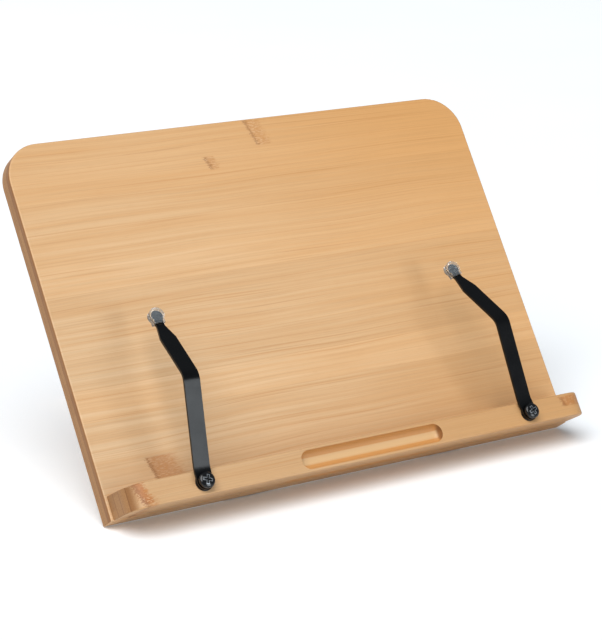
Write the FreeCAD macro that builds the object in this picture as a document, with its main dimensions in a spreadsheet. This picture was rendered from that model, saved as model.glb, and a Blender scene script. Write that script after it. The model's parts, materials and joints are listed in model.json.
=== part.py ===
import FreeCAD, Part
import math
import os

import Sketcher
from FreeCAD import Placement, Rotation, Vector

# Folding bamboo stand for an open album or book, in millimetres.
# X runs along the board, Y towards the back, Z up. The stand is drawn open on a
# table at Z = 0, with the middle of its footprint at the origin.
#
# The backboard leans back on a folding prop. The foot bar of the prop pushes
# against a slat of the base frame, which lies on the table and is pinned to the
# foot of the board, so board, prop and base make a triangle. Prop and base nest in
# one layer behind the board when they are folded.

SIZES = {
    # backboard
    "board_width": 340.0,
    "board_height": 240.0,
    "board_thickness": 12.5,
    "board_corner": 24.0,
    "board_edge": 1.2,
    "lean_angle": 56.0,
    # ledge along the foot of the board
    "ledge_end_inset": 2.0,
    "ledge_depth": 30.0,
    "ledge_height": 15.3,
    "ledge_corner": 13.0,
    "ledge_droop": 2.3,
    "ledge_edge": 1.0,
    "groove_length": 104.0,
    "groove_wall": 1.65,
    "groove_depth": 5.2,
    "groove_round": 4.2,
    # screws from the back of the board into the ledge
    "ledge_screw_inner": 62.0,
    "ledge_screw_end_inset": 24.0,
    "ledge_screw_length": 30.0,
    "wood_screw_radius": 2.0,
    "wood_screw_head": 4.0,
    "wood_cross": 4.4,
    "wood_cross_depth": 1.4,
    "pilot_room": 0.5,
    # page arms and their pivots
    "arm_pivot_inset": 50.0,
    "arm_width": 10.5,
    "arm_thickness": 1.6,
    "arm_foot": 8.0,
    "arm_peak_reach": 60.0,
    "arm_peak_rise": 18.0,
    "arm_neck_reach": 99.5,
    "arm_neck_rise": -3.5,
    "arm_tip_reach": 108.0,
    "arm_tip_rise": -5.0,
    "arm_taper_reach": 88.0,
    "arm_neck_width": 4.8,
    "arm_neck_length": 3.0,
    "arm_paddle_width": 7.6,
    "arm_paddle_taper": 2.5,
    "arm_tip_corner": 2.0,
    "left_arm_swing": 2.0,
    "right_arm_swing": 10.0,
    "cap_length": 10.5,
    "cap_side_wall": 1.0,
    "cap_face_wall": 1.4,
    "cap_end_wall": 1.6,
    "cap_corner": 3.5,
    "cap_edge": 1.7,
    "cap_seat_gap": 0.2,
    "pivot_radius": 2.0,
    "pivot_length": 12.0,
    "pivot_head_radius": 5.0,
    "pivot_head_height": 2.8,
    "pivot_cross": 5.0,
    "pivot_cross_depth": 1.5,
    "pivot_screw_turn": 20.0,
    "washer_radius": 5.6,
    "washer_thickness": 1.0,
    "spring_washer_radius": 4.0,
    "spring_washer_thickness": 0.9,
    "spring_washer_slit": 1.0,
    "insert_radius": 3.0,
    "insert_length": 10.0,
    "insert_sink": 0.5,
    "insert_bore_room": 2.5,
    # bars of the prop and the base
    "bar_width": 12.0,
    "bar_thickness": 9.0,
    "bar_edge": 0.8,
    "fold_gap": 0.5,
    "tenon_length": 6.0,
    "tenon_thickness": 5.0,
    "mortise_room": 0.3,
    # prop
    "prop_half_width": 56.0,
    "prop_pivot_height": 160.0,
    "foot_park_height": 6.5,
    "foot_bar_radius": 5.0,
    "foot_tenon_radius": 2.5,
    "prop_rail_reach": 22.0,
    "prop_rail_width": 14.0,
    "prop_rail_shoulder": 2.0,
    # base
    "frame_gap": 4.5,
    "slat_width": 6.0,
    "slat_shoulder": 1.0,
    "slot_room": 1.2,
    "rear_rail_width": 12.0,
    # pivot brackets
    "hinge_pin_radius": 2.0,
    "hinge_pin_head": 3.2,
    "hinge_pin_head_height": 1.2,
    "bracket_thickness": 1.4,
    "bracket_flange": 14.0,
    "bracket_length": 20.0,
    "bracket_foot_margin": 1.5,
    "ear_margin": 2.2,
    "bracket_hole_spacing": 12.0,
    "bracket_screw_radius": 1.4,
    "bracket_screw_head": 2.6,
    "bracket_screw_head_height": 1.5,
    "bracket_cross": 2.4,
    "bracket_cross_depth": 0.9,
    "bracket_screw_length": 9.0,
    # clearances
    "pin_clearance": 0.05,
    "joint_clearance": 0.05,
    "face_gap": 0.15,
    "side_gap": 0.4,
    "floor_gap": 0.2,
    "stop_gap": 0.4,
    # how far a full round stops short of the middle, and how far a cut runs past a face
    "round_gap": 0.02,
    "overcut": 1.0,
}

# Rules that several pieces share.
LEDGE_LENGTH = "board_width - 2 * ledge_end_inset"
GROOVE_WIDTH = "( ledge_height - 2 * groove_wall )"
ARM_PIVOT_X = "( board_width / 2 - arm_pivot_inset )"
LEDGE_SCREWS = ("ledge_screw_inner", "( board_width / 2 - ledge_screw_end_inset )")
CAP_WIDTH = "( arm_paddle_width + 2 * cap_side_wall )"
CAP_THICKNESS = "( arm_thickness + 2 * cap_face_wall )"
STAND_OFF = "max( bar_thickness / 2 ; foot_bar_radius ) + fold_gap"

doc = FreeCAD.newDocument("album_stand")
sheet = doc.addObject("Spreadsheet::Sheet", "Sizes")
for row, (alias, value) in enumerate(SIZES.items(), start=1):
    sheet.set("A%d" % row, alias)
    sheet.set("B%d" % row, str(value))
    sheet.setAlias("B%d" % row, alias)
doc.recompute()

NODES = {}
AXIS_TURN = {
    "X": Rotation(Vector(0, 1, 0), 90),
    "Z": Rotation(),
}


# ---------------------------------------------------------------- shared helpers
def size(alias):
    return float(sheet.get(alias))


def rule(words):
    """A formula on size names, its words spaced apart, as a cell expression."""
    return " ".join("Sizes." + word if word in SIZES else word for word in words.split())


def worth(words):
    """The number that a rule comes to at the present sizes."""
    cell = doc.addObject("App::FeaturePython", "rule")
    cell.addProperty("App::PropertyFloat", "Worth")
    cell.setExpression("Worth", rule(words))
    doc.recompute()
    number = cell.Worth
    doc.removeObject(cell.Name)
    return number


def bind(thing, **rules):
    for name, words in rules.items():
        thing.setExpression(name, rule(words))


def block(name, corner, x, y, z):
    """A box from its lowest corner; x, y and z are rules for its sides."""
    piece = doc.addObject("Part::Box", name)
    bind(piece, Length=x, Width=y, Height=z)
    piece.Placement.Base = Vector(*corner)
    return piece


def rod(name, start, axis, radius, length):
    piece = doc.addObject("Part::Cylinder", name)
    bind(piece, Radius=radius, Height=length)
    piece.Placement = Placement(Vector(*start), AXIS_TURN[axis])
    return piece


def fuse(name, *pieces):
    joined = doc.addObject("Part::MultiFuse", name)
    joined.Shapes = list(pieces)
    joined.Refine = True
    return joined


def cut(name, base, *tools):
    result = doc.addObject("Part::Cut", name)
    result.Base = base
    result.Tool = tools[0] if len(tools) == 1 else fuse(name + "_tools", *tools)
    return result


def group(name, pieces):
    holder = doc.addObject("Part::Compound", name)
    holder.Links = pieces
    return holder


def node(label, piece, placement=Placement()):
    """Name a finished sub-part and set it in its place on the stand."""
    piece.Label = label
    piece.Placement = placement
    NODES[label] = piece
    return piece


def new_body(name):
    return doc.addObject("PartDesign::Body", name)


def new_sketch(body, name, role, lift=0.0):
    sketch = body.newObject("Sketcher::SketchObject", name)
    plane = [f for f in body.Origin.OriginFeatures if f.Role == role][0]
    sketch.AttachmentSupport = [(plane, "")]
    sketch.MapMode = "FlatFace"
    sketch.AttachmentOffset = Placement(Vector(0, 0, lift), Rotation())
    return sketch


def fix_point(sketch, line, end, across, up):
    """Hold one end of a line at two rules measured from the sketch's origin."""
    for kind, words in (("DistanceX", across), ("DistanceY", up)):
        index = sketch.addConstraint(Sketcher.Constraint(kind, -1, 1, line, end, 1.0))
        sketch.setExpression("Constraints[%d]" % index, rule(words))


def polygon(sketch, corners):
    """A closed outline; each corner is a pair of rules, across and up the sketch."""
    starts = [Vector(math.cos(a), math.sin(a), 0) for a in
              (2 * math.pi * k / len(corners) for k in range(len(corners)))]
    lines = []
    for start, end in zip(starts, starts[1:] + starts[:1]):
        lines.append(sketch.addGeometry(Part.LineSegment(start, end)))
    for line, after in zip(lines, lines[1:] + lines[:1]):
        sketch.addConstraint(Sketcher.Constraint("Coincident", line, 2, after, 1))
    for line, (across, up) in zip(lines, corners):
        fix_point(sketch, line, 1, across, up)


def rectangle(sketch, left, right, bottom, top):
    polygon(sketch, [(left, bottom), (right, bottom), (right, top), (left, top)])


def circles(sketch, radius, centres):
    for across, up in centres:
        ring = sketch.addGeometry(Part.Circle(Vector(1, 1, 0), Vector(0, 0, 1), 1.0))
        index = sketch.addConstraint(Sketcher.Constraint("Radius", ring, 1.0))
        sketch.setExpression("Constraints[%d]" % index, rule(radius))
        fix_point(sketch, ring, 3, across, up)


def pad(body, sketch, length, symmetric=False):
    feature = body.newObject("PartDesign::Pad", sketch.Name + "_pad")
    feature.Profile = sketch
    feature.SideType = "Symmetric" if symmetric else "One side"
    bind(feature, Length=length)
    doc.recompute()
    return feature


def pocket(body, sketch, depth, reverse=False, symmetric=False):
    """Cut a sketch into its body and make sure that something came off."""
    doc.recompute()
    before = body.Shape.Volume
    feature = body.newObject("PartDesign::Pocket", sketch.Name + "_pocket")
    feature.Profile = sketch
    feature.SideType = "Symmetric" if symmetric else "One side"
    feature.Reversed = reverse
    bind(feature, Length=depth)
    doc.recompute()
    if body.Shape.Volume > before - 1e-3:
        raise RuntimeError(sketch.Name + " cuts nothing")
    return feature


def fillet(body, radius, picks):
    """Round the edges of a body for which picks(edge) is true."""
    doc.recompute()
    base = body.Tip
    edges = ["Edge%d" % n for n, edge in enumerate(body.Shape.Edges, start=1) if picks(edge)]
    feature = body.newObject("PartDesign::Fillet", base.Name + "_round")
    feature.Base = (base, edges)
    bind(feature, Radius=radius)
    doc.recompute()
    return feature


def along(edge, axis):
    """True for a straight edge that is parallel to an axis, 0 to 2 for X to Z."""
    if edge.Curve.TypeId != "Part::GeomLine":
        return False
    spans = (edge.BoundBox.XLength, edge.BoundBox.YLength, edge.BoundBox.ZLength)
    return all(span < 1e-4 for k, span in enumerate(spans) if k != axis)


def at_height(edge, height):
    return max(abs(edge.BoundBox.ZMin - height), abs(edge.BoundBox.ZMax - height)) < 1e-3


# ---------------------------------------------------------------- places on the stand
lean = math.radians(size("lean_angle"))
board_turn = Rotation(Vector(1, 0, 0), size("lean_angle"))


def on_board(x, up, out):
    """The board's own frame: up its back face from the foot, and out of its front."""
    base = Vector(0, math.cos(lean), math.sin(lean)) * up
    base += Vector(0, -math.sin(lean), math.cos(lean)) * out
    return Placement(base + Vector(x, 0, 0), board_turn)


def stretch(start, end):
    """Length from one point to another, and the angle of that line above +Y."""
    step = end - start
    return step.Length, math.degrees(math.atan2(step.z, step.y))


half_bar = size("bar_thickness") / 2
stand_off = worth(STAND_OFF)
base_pivot_up = (half_bar + stand_off * math.cos(lean)) / math.sin(lean)
base_pivot = on_board(0, base_pivot_up, -stand_off).Base
prop_pivot = on_board(0, size("prop_pivot_height"), -stand_off).Base
prop_length = size("prop_pivot_height") - size("foot_park_height")
foot_radius = max(size("foot_bar_radius"), half_bar)
foot_height = foot_radius + size("floor_gap")
foot_reach = math.sqrt(prop_length ** 2 - (prop_pivot.z - foot_height) ** 2)
foot_axis = Vector(0, prop_pivot.y + foot_reach, foot_height)
prop_turn = stretch(prop_pivot, foot_axis)[1]
first_slat = stretch(base_pivot, foot_axis)[0] + foot_radius + size("stop_gap")
slat_pitch = size("slat_width") + 2 * foot_radius + size("slot_room")
prop_place = Placement(prop_pivot, Rotation(Vector(1, 0, 0), prop_turn))
base_place = Placement(base_pivot, Rotation())
front_of_board = size("board_thickness")
ledge_screws_x = [side * worth(words) for side in (-1, 1) for words in LEDGE_SCREWS]
ledge_screw_up = size("ledge_height") / 2
arm_pivot_up = size("ledge_height") / 2 - size("ledge_droop")
arm_pivot_x = worth(ARM_PIVOT_X)
SIDES = (("left", -1), ("right", 1))


# ---------------------------------------------------------------- board and ledge
def bracket_screw_spots(side, inner_face, pivot_up):
    """Screw places of one bracket on the back of the board, as (x, up) pairs."""
    x = side * (inner_face + size("bracket_flange") / 2)
    half = size("bracket_hole_spacing") / 2
    return [(x, pivot_up - half), (x, pivot_up + half)]


# Prop and base nest side by side when they are folded, so the base's rails start
# frame_gap outside the prop's legs. Each span is the distance from the middle of the
# stand to the inner faces of a frame's bars, as a rule and as a number.
PROP_SPAN = "prop_half_width - bar_width"
BASE_SPAN = "prop_half_width + frame_gap"
prop_inner = worth(PROP_SPAN)
base_inner = worth(BASE_SPAN)

# A bracket's ear stands beside its bar: inside the legs of the prop, outside the
# rails of the base. Its flange runs on from there, away from the bar.
prop_ear_face = prop_inner - size("side_gap")
base_ear_face = base_inner + size("bar_width") + size("side_gap")
prop_flange_face = prop_ear_face - size("bracket_thickness") - size("bracket_flange")
base_flange_face = base_ear_face + size("bracket_thickness")
base_flange_up = size("bracket_length") / 2 + size("bracket_foot_margin")
BRACKET_SPOTS = {
    "prop": [spot for _, side in SIDES
             for spot in bracket_screw_spots(side, prop_flange_face, size("prop_pivot_height"))],
    "base": [spot for _, side in SIDES
             for spot in bracket_screw_spots(side, base_flange_face, base_flange_up)],
}


def make_backboard():
    body = new_body("board_blank")
    outline = new_sketch(body, "board_outline", "XY_Plane")
    rectangle(outline, "0 - board_width / 2", "board_width / 2", "0", "board_height")
    pad(body, outline, "board_thickness")
    fillet(body, "board_corner",
           lambda e: along(e, 2) and e.BoundBox.YMin > size("board_height") - 1)
    fillet(body, "board_edge",
           lambda e: at_height(e, 0) or at_height(e, size("board_thickness")))
    holes = []
    for number, x in enumerate(ledge_screws_x):
        holes += wood_screw_parts("board_hole_%d" % number, x, "pin_clearance")
    for place, spots in BRACKET_SPOTS.items():
        for number, (x, up) in enumerate(spots):
            holes.append(rod("%s_pilot_%d" % (place, number), (x, up, 0), "Z",
                             "bracket_screw_radius", "bracket_screw_length"))
    node("backboard", cut("backboard", body, *holes), on_board(0, 0, 0))


def wood_screw_parts(name, x, clearance):
    """Head cone and shank of one ledge screw, let in flush with the back of the board."""
    head = doc.addObject("Part::Cone", name + "_head")
    bind(head, Radius1="wood_screw_head + " + clearance, Radius2="wood_screw_radius + " + clearance,
         Height="wood_screw_head - wood_screw_radius")
    head.Placement.Base = Vector(x, ledge_screw_up, 0)
    shank = rod(name + "_shank", (x, ledge_screw_up, 0), "Z",
                "wood_screw_radius + " + clearance, "ledge_screw_length")
    return [head, shank]


def cross_recess(name, x, up, low, kind):
    """Two crossed slots for a screwdriver, from height low up into or out of a head."""
    reach = size(kind + "_cross")
    slot = reach / 4
    depth = kind + "_cross_depth"
    return [block(name + "_wide", (x - reach / 2, up - slot / 2, low),
                  kind + "_cross", kind + "_cross / 4", depth),
            block(name + "_tall", (x - slot / 2, up - reach / 2, low),
                  kind + "_cross / 4", kind + "_cross", depth)]


def make_ledge_screws():
    screws = []
    for number, x in enumerate(ledge_screws_x):
        name = "ledge_screw_%d" % number
        blank = fuse(name + "_blank", *wood_screw_parts(name, x, "0"))
        cross = cross_recess(name + "_cross", x, ledge_screw_up, 0, "wood")
        screws.append(cut(name, blank, *cross))
    node("ledge_screws", group("ledge_screws", screws), on_board(0, 0, 0))


def make_ledge():
    """The shelf along the foot of the board, with the pen groove in its front face."""
    body = new_body("ledge_blank")
    section = new_sketch(body, "ledge_section", "YZ_Plane")
    polygon(section, [("0", "0"), ("0 - ledge_droop", "ledge_depth"),
                      ("ledge_height - ledge_droop", "ledge_depth"), ("ledge_height", "0")])
    pad(body, section, LEDGE_LENGTH, symmetric=True)
    depth = size("ledge_depth")
    fillet(body, "ledge_corner", lambda e: along(e, 1) and at_height(e, depth))
    fillet(body, "ledge_edge", lambda e: at_height(e, depth) and not along(e, 1))
    groove = new_sketch(body, "groove_outline", "XY_Plane", depth)
    middle = "ledge_height / 2 - ledge_droop"
    rectangle(groove, "0 - groove_length / 2", "groove_length / 2",
              middle + " - " + GROOVE_WIDTH + " / 2", middle + " + " + GROOVE_WIDTH + " / 2")
    pocket(body, groove, "groove_depth")
    inside = size("groove_length") / 2 + size("overcut")
    floor = depth - size("groove_depth")
    fillet(body, GROOVE_WIDTH + " / 2 - round_gap",
           lambda e: along(e, 2) and e.BoundBox.ZMin > floor / 2 and abs(e.BoundBox.XMin) < inside)
    fillet(body, "groove_round", lambda e: at_height(e, floor))
    bores = new_sketch(body, "insert_bores", "XY_Plane", depth)
    circles(bores, "insert_radius + joint_clearance",
            [(sign + ARM_PIVOT_X, "ledge_height / 2 - ledge_droop") for sign in ("0 - ", "")])
    pocket(body, bores, "insert_length + insert_sink + insert_bore_room")
    pilots = new_sketch(body, "ledge_pilots", "XY_Plane")
    circles(pilots, "wood_screw_radius + joint_clearance",
            [(sign + words, "ledge_height / 2") for sign in ("0 - ", "") for words in LEDGE_SCREWS])
    pocket(body, pilots, "ledge_screw_length - board_thickness + pilot_room", reverse=True)
    node("ledge", body, on_board(0, 0, front_of_board))


# ---------------------------------------------------------------- page arms
# An arm is built on its pivot: across in X, up the page in Y, out of the page in Z.
# From the ledge outwards lie the flat washer, the arm, the spring washer and the head.
ledge_face = front_of_board + size("ledge_depth")
arm_level = ledge_face + size("washer_thickness") + size("face_gap")
spring_level = arm_level + size("arm_thickness") + size("face_gap")
head_level = spring_level + size("spring_washer_thickness")


def arm_frame(side, swing, level):
    """On an arm's pivot axis at a height above the board's back, swung towards the middle."""
    place = on_board(side * arm_pivot_x, arm_pivot_up, level)
    return place * Placement(Vector(), Rotation(Vector(0, 0, 1), side * swing))


def make_arm(name, side, swing):
    """A flat strip, bent out over the page and back down to a narrow neck and a paddle."""
    body = new_body(name + "_body")
    profile = new_sketch(body, name + "_profile", "YZ_Plane")
    under = [("0 - arm_width / 2", "0"), ("arm_foot", "0"), ("arm_peak_reach", "arm_peak_rise"),
             ("arm_neck_reach", "arm_neck_rise"), ("arm_tip_reach", "arm_tip_rise")]
    over = [(reach, rise + " + arm_thickness") for reach, rise in reversed(under)]
    polygon(profile, under + over)
    pad(body, profile, "arm_width", symmetric=True)
    outline = new_sketch(body, name + "_outline", "XY_Plane")
    for sign in ("", "0 - "):
        edge = [("arm_width / 2", "arm_taper_reach"),
                ("arm_neck_width / 2", "arm_neck_reach - arm_neck_length"),
                ("arm_neck_width / 2", "arm_neck_reach"),
                ("arm_paddle_width / 2", "arm_neck_reach + arm_paddle_taper"),
                ("arm_paddle_width / 2", "arm_tip_reach - arm_tip_corner"),
                ("arm_paddle_width / 2 - arm_tip_corner", "arm_tip_reach"),
                ("arm_paddle_width / 2 - arm_tip_corner", "arm_tip_reach + overcut"),
                ("arm_width", "arm_tip_reach + overcut"),
                ("arm_width", "arm_taper_reach")]
        polygon(outline, [(sign + "( " + across + " )", up) for across, up in edge])
    pocket(body, outline, "arm_peak_reach", symmetric=True)
    fillet(body, "arm_width / 2 - round_gap", lambda e: along(e, 2) and e.BoundBox.YMax < 0)
    hole = new_sketch(body, name + "_hole", "XY_Plane")
    circles(hole, "pivot_radius + pin_clearance", [("0", "0")])
    pocket(body, hole, "arm_peak_rise", symmetric=True)
    bends = (size("arm_foot"), size("arm_peak_reach"), size("arm_neck_reach"))
    fillet(body, "arm_thickness",
           lambda e: along(e, 0) and any(abs(e.BoundBox.YMin - bend) < 1e-3 for bend in bends))
    node(name, body, arm_frame(side, swing, arm_level))


def make_cap(name, side, swing):
    """The clear sleeve pushed over the paddle at the end of an arm."""
    body = new_body(name + "_body")
    outline = new_sketch(body, name + "_outline", "XY_Plane")
    rectangle(outline, "0 - " + CAP_WIDTH + " / 2", CAP_WIDTH + " / 2", "0", "cap_length")
    pad(body, outline, CAP_THICKNESS)
    half_length = size("cap_length") / 2
    fillet(body, "cap_corner", lambda e: along(e, 2) and e.BoundBox.YMin > half_length)
    top = worth(CAP_THICKNESS)
    fillet(body, "cap_edge", lambda e: at_height(e, 0) or at_height(e, top))
    slope, angle = stretch(Vector(0, size("arm_neck_reach"), size("arm_neck_rise")),
                           Vector(0, size("arm_tip_reach"), size("arm_tip_rise")))
    wall = size("cap_face_wall")
    back = size("cap_length") - size("cap_end_wall") - size("cap_seat_gap") - slope
    hollow = block(name + "_hollow",
                   (-size("arm_paddle_width") / 2 - size("joint_clearance"), -size("overcut"),
                    wall - 2 * size("joint_clearance")),
                   "arm_paddle_width + 2 * joint_clearance",
                   "cap_length - cap_end_wall + overcut", "arm_thickness + 4 * joint_clearance")
    seat = Placement(Vector(0, size("arm_neck_reach"), size("arm_neck_rise")),
                     Rotation(Vector(1, 0, 0), angle))
    seat = seat * Placement(Vector(0, -back, -wall), Rotation())
    node(name, cut(name, body, hollow), arm_frame(side, swing, arm_level) * seat)


def ring(name, outer, inner, thickness):
    return cut(name, rod(name + "_disc", (0, 0, 0), "Z", outer, thickness),
               rod(name + "_bore", (0, 0, 0), "Z", inner, thickness))


def make_arm_pivot(name, side):
    """Brass insert in the ledge, flat washer, split spring washer and pan-head screw."""
    insert = ring(name + "_insert", "insert_radius", "pivot_radius + joint_clearance", "insert_length")
    insert_level = ledge_face - size("insert_length") - size("insert_sink")
    node(name + "_insert", insert, arm_frame(side, 0, insert_level))
    washer = ring(name + "_washer", "washer_radius", "pivot_radius + joint_clearance",
                  "washer_thickness")
    node(name + "_washer", washer, arm_frame(side, 0, ledge_face))
    whole = ring(name + "_spring_ring", "spring_washer_radius", "pivot_radius + joint_clearance",
                 "spring_washer_thickness")
    slit = block(name + "_slit", (0, -size("spring_washer_slit") / 2, 0), "spring_washer_radius",
                 "spring_washer_slit", "spring_washer_thickness")
    spring = cut(name + "_spring_washer", whole, slit)
    node(name + "_spring_washer", spring, arm_frame(side, 0, spring_level))
    make_pivot_screw(name + "_screw", arm_frame(side, size("pivot_screw_turn"), head_level))


def make_pivot_screw(name, place):
    body = new_body(name + "_body")
    outline = new_sketch(body, name + "_outline", "XY_Plane")
    circles(outline, "pivot_head_radius", [("0", "0")])
    pad(body, outline, "pivot_head_height")
    fillet(body, "pivot_head_height * 0.7", lambda e: at_height(e, size("pivot_head_height")))
    shank_length = size("pivot_length") + size("spring_washer_thickness")
    shank = rod(name + "_shank", (0, 0, -shank_length), "Z", "pivot_radius",
                "pivot_length + spring_washer_thickness")
    blank = fuse(name + "_blank", body, shank)
    cross_level = size("pivot_head_height") - size("pivot_cross_depth")
    cross = cross_recess(name + "_cross", 0, 0, cross_level, "pivot")
    node(name, cut(name, blank, *cross), place)


# ---------------------------------------------------------------- bars of prop and base
# Bars are drawn from their pivot: along the bar in Y, through its thickness in Z.
def make_bar(name, centre_x, length, foot_round):
    """A bar with a round pivot end, and a round foot where foot_round is set."""
    body = new_body(name + "_bar")
    section = new_sketch(body, name + "_section", "XY_Plane", -half_bar)
    rectangle(section, "0 - bar_width / 2", "bar_width / 2", "0 - bar_thickness / 2", length)
    pad(body, section, "bar_thickness")
    far_end = size("bar_thickness")
    rounds = (lambda e: along(e, 0)) if foot_round else (
        lambda e: along(e, 0) and e.BoundBox.YMax < far_end)
    fillet(body, "bar_thickness / 2 - round_gap", rounds)
    fillet(body, "bar_edge", lambda e: along(e, 1))
    body.Placement.Base = Vector(centre_x, 0, 0)
    return body


def mortise(name, x, start, width):
    """The pocket for a tenon, from a bar's inner face at x towards the outside."""
    low_x = min(x, x + math.copysign(size("tenon_length") + size("mortise_room"), x))
    return block(name, (low_x, start, -size("tenon_thickness") / 2 - size("joint_clearance")),
                 "tenon_length + mortise_room", width, "tenon_thickness + 2 * joint_clearance")


def make_cross_rail(name, inner, span, start, width, shoulder, place):
    """A rail between two bars, with a tenon at each end; inner is what span comes to."""
    body = new_body(name + "_blank")
    outline = new_sketch(body, name + "_outline", "XY_Plane", -half_bar)
    low, high = str(start), str(start) + " + " + width
    rectangle(outline, "0 - ( " + span + " )", span, low, high)
    pad(body, outline, "bar_thickness")
    fillet(body, "bar_edge", lambda e: along(e, 0))
    tenon = block(name + "_tenon",
                  (-inner - size("tenon_length"), start + size(shoulder), -size("tenon_thickness") / 2),
                  "2 * ( " + span + " ) + 2 * tenon_length",
                  width + " - 2 * " + shoulder, "tenon_thickness")
    node(name, fuse(name, body, tenon), place)


def make_prop():
    inner = prop_inner
    centre = inner + size("bar_width") / 2
    length_rule = "prop_pivot_height - foot_park_height"
    rail_start = size("prop_rail_reach")
    for label, side in SIDES:
        name = label + "_prop_leg"
        bar = make_bar(name, side * centre, length_rule + " + bar_thickness / 2", True)
        outer_end = min(side * inner, side * size("prop_half_width"))
        holes = [
            rod(name + "_pin_hole", (outer_end, 0, 0), "X", "hinge_pin_radius + pin_clearance",
                "bar_width"),
            rod(name + "_foot_hole", (outer_end, prop_length, 0), "X",
                "foot_tenon_radius + joint_clearance", "bar_width"),
            mortise(name + "_mortise", side * inner,
                    rail_start + size("prop_rail_shoulder") - size("joint_clearance"),
                    "prop_rail_width - 2 * prop_rail_shoulder + 2 * joint_clearance"),
        ]
        node(name, cut(name, bar, *holes), prop_place)
    make_cross_rail("prop_top_rail", inner, PROP_SPAN, rail_start, "prop_rail_width",
                    "prop_rail_shoulder", prop_place)
    barrel = rod("foot_barrel", (-inner, prop_length, 0), "X", "foot_bar_radius",
                 "2 * ( " + PROP_SPAN + " )")
    tenon = rod("foot_tenon", (-size("prop_half_width"), prop_length, 0), "X",
                "foot_tenon_radius", "2 * prop_half_width")
    node("prop_foot_bar", fuse("prop_foot_bar", barrel, tenon), prop_place)


def slat_rows():
    """Name, reach of the front face and width rule of each slat of the base."""
    return [("base_front_slat", first_slat, "slat_width"),
            ("base_middle_slat", first_slat + slat_pitch, "slat_width"),
            ("base_rear_rail", first_slat + 2 * slat_pitch, "rear_rail_width")]


def make_base():
    inner = base_inner
    centre = inner + size("bar_width") / 2
    rear_name, rear_start, rear_width = slat_rows()[-1]
    length_rule = "%.6f + %s" % (rear_start, rear_width)
    for label, side in SIDES:
        name = label + "_base_rail"
        bar = make_bar(name, side * centre, length_rule, False)
        outer_end = min(side * inner, side * (inner + size("bar_width")))
        holes = [rod(name + "_pin_hole", (outer_end, 0, 0), "X",
                     "hinge_pin_radius + pin_clearance", "bar_width")]
        for slat, start, width in slat_rows():
            holes.append(mortise("%s_%s_mortise" % (name, slat), side * inner,
                                 start + size("slat_shoulder") - size("joint_clearance"),
                                 width + " - 2 * slat_shoulder + 2 * joint_clearance"))
        node(name, cut(name, bar, *holes), base_place)
    for slat, start, width in slat_rows():
        make_cross_rail(slat, inner, BASE_SPAN, start, width, "slat_shoulder", base_place)


# ---------------------------------------------------------------- pivot brackets
def make_bracket(name, side, ear_x, flange_side, pivot_up, flange_up):
    """A bent steel bracket: a flange screwed to the board, and an ear for the hinge pin.

    ear_x is the ear's face on the side of its bar; flange_side is the way that the
    flange runs from it, 1 away from the middle of the stand and -1 towards it.
    """
    way = side * flange_side
    thickness = size("bracket_thickness")
    ear_radius = size("hinge_pin_radius") + size("ear_margin")
    ear_low = min(side * ear_x, side * ear_x + way * thickness)
    far = side * ear_x + way * (thickness + size("bracket_flange"))
    flange_low = min(side * ear_x, far)
    half_length = size("bracket_length") / 2
    flange = block(name + "_flange", (flange_low, flange_up - half_length, -thickness),
                   "bracket_flange + bracket_thickness", "bracket_length", "bracket_thickness")
    ear = block(name + "_ear", (ear_low, pivot_up - ear_radius, -stand_off),
                "bracket_thickness", "2 * ( hinge_pin_radius + ear_margin )", STAND_OFF)
    nose = rod(name + "_nose", (ear_low, pivot_up, -stand_off), "X",
               "hinge_pin_radius + ear_margin", "bracket_thickness")
    holes = [rod(name + "_pin_hole", (ear_low, pivot_up, -stand_off), "X",
                 "hinge_pin_radius + joint_clearance", "bracket_thickness")]
    for number, (x, up) in enumerate(bracket_screw_spots(side, min(abs(far), abs(side * ear_x
                                     + way * thickness)), flange_up)):
        holes.append(rod("%s_screw_hole_%d" % (name, number), (x, up, -thickness), "Z",
                         "bracket_screw_radius + joint_clearance", "bracket_thickness"))
    node(name, cut(name, fuse(name + "_blank", flange, ear, nose), *holes), on_board(0, 0, 0))


def make_hinge_pin(name, side, ear_x, flange_side, pivot_up):
    """A headed pin from the free side of the ear through the ear and the whole bar."""
    way = side * flange_side
    ear_out = side * ear_x + way * size("bracket_thickness")
    bar_far = side * ear_x - way * (size("side_gap") + size("bar_width"))
    head_far = ear_out + way * size("hinge_pin_head_height")
    shank = rod(name + "_shank", (min(ear_out, bar_far), pivot_up, -stand_off), "X",
                "hinge_pin_radius", "bracket_thickness + side_gap + bar_width")
    head = rod(name + "_head", (min(ear_out, head_far), pivot_up, -stand_off), "X",
               "hinge_pin_head", "hinge_pin_head_height")
    node(name, fuse(name, shank, head), on_board(0, 0, 0))


def make_bracket_screws(name, spots):
    screws = []
    thickness = size("bracket_thickness")
    for number, (x, up) in enumerate(spots):
        label = "%s_%d" % (name, number)
        shank = rod(label + "_shank", (x, up, -thickness), "Z", "bracket_screw_radius",
                    "bracket_thickness + bracket_screw_length - pilot_room")
        head = doc.addObject("Part::Cone", label + "_head")
        bind(head, Radius1="bracket_screw_radius", Radius2="bracket_screw_head",
             Height="bracket_screw_head_height")
        outside = -thickness - size("bracket_screw_head_height")
        head.Placement.Base = Vector(x, up, outside)
        cross = cross_recess(label + "_cross", x, up, outside, "bracket")
        screws.append(cut(label, fuse(label + "_blank", shank, head), *cross))
    node(name, group(name, screws), on_board(0, 0, 0))


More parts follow.
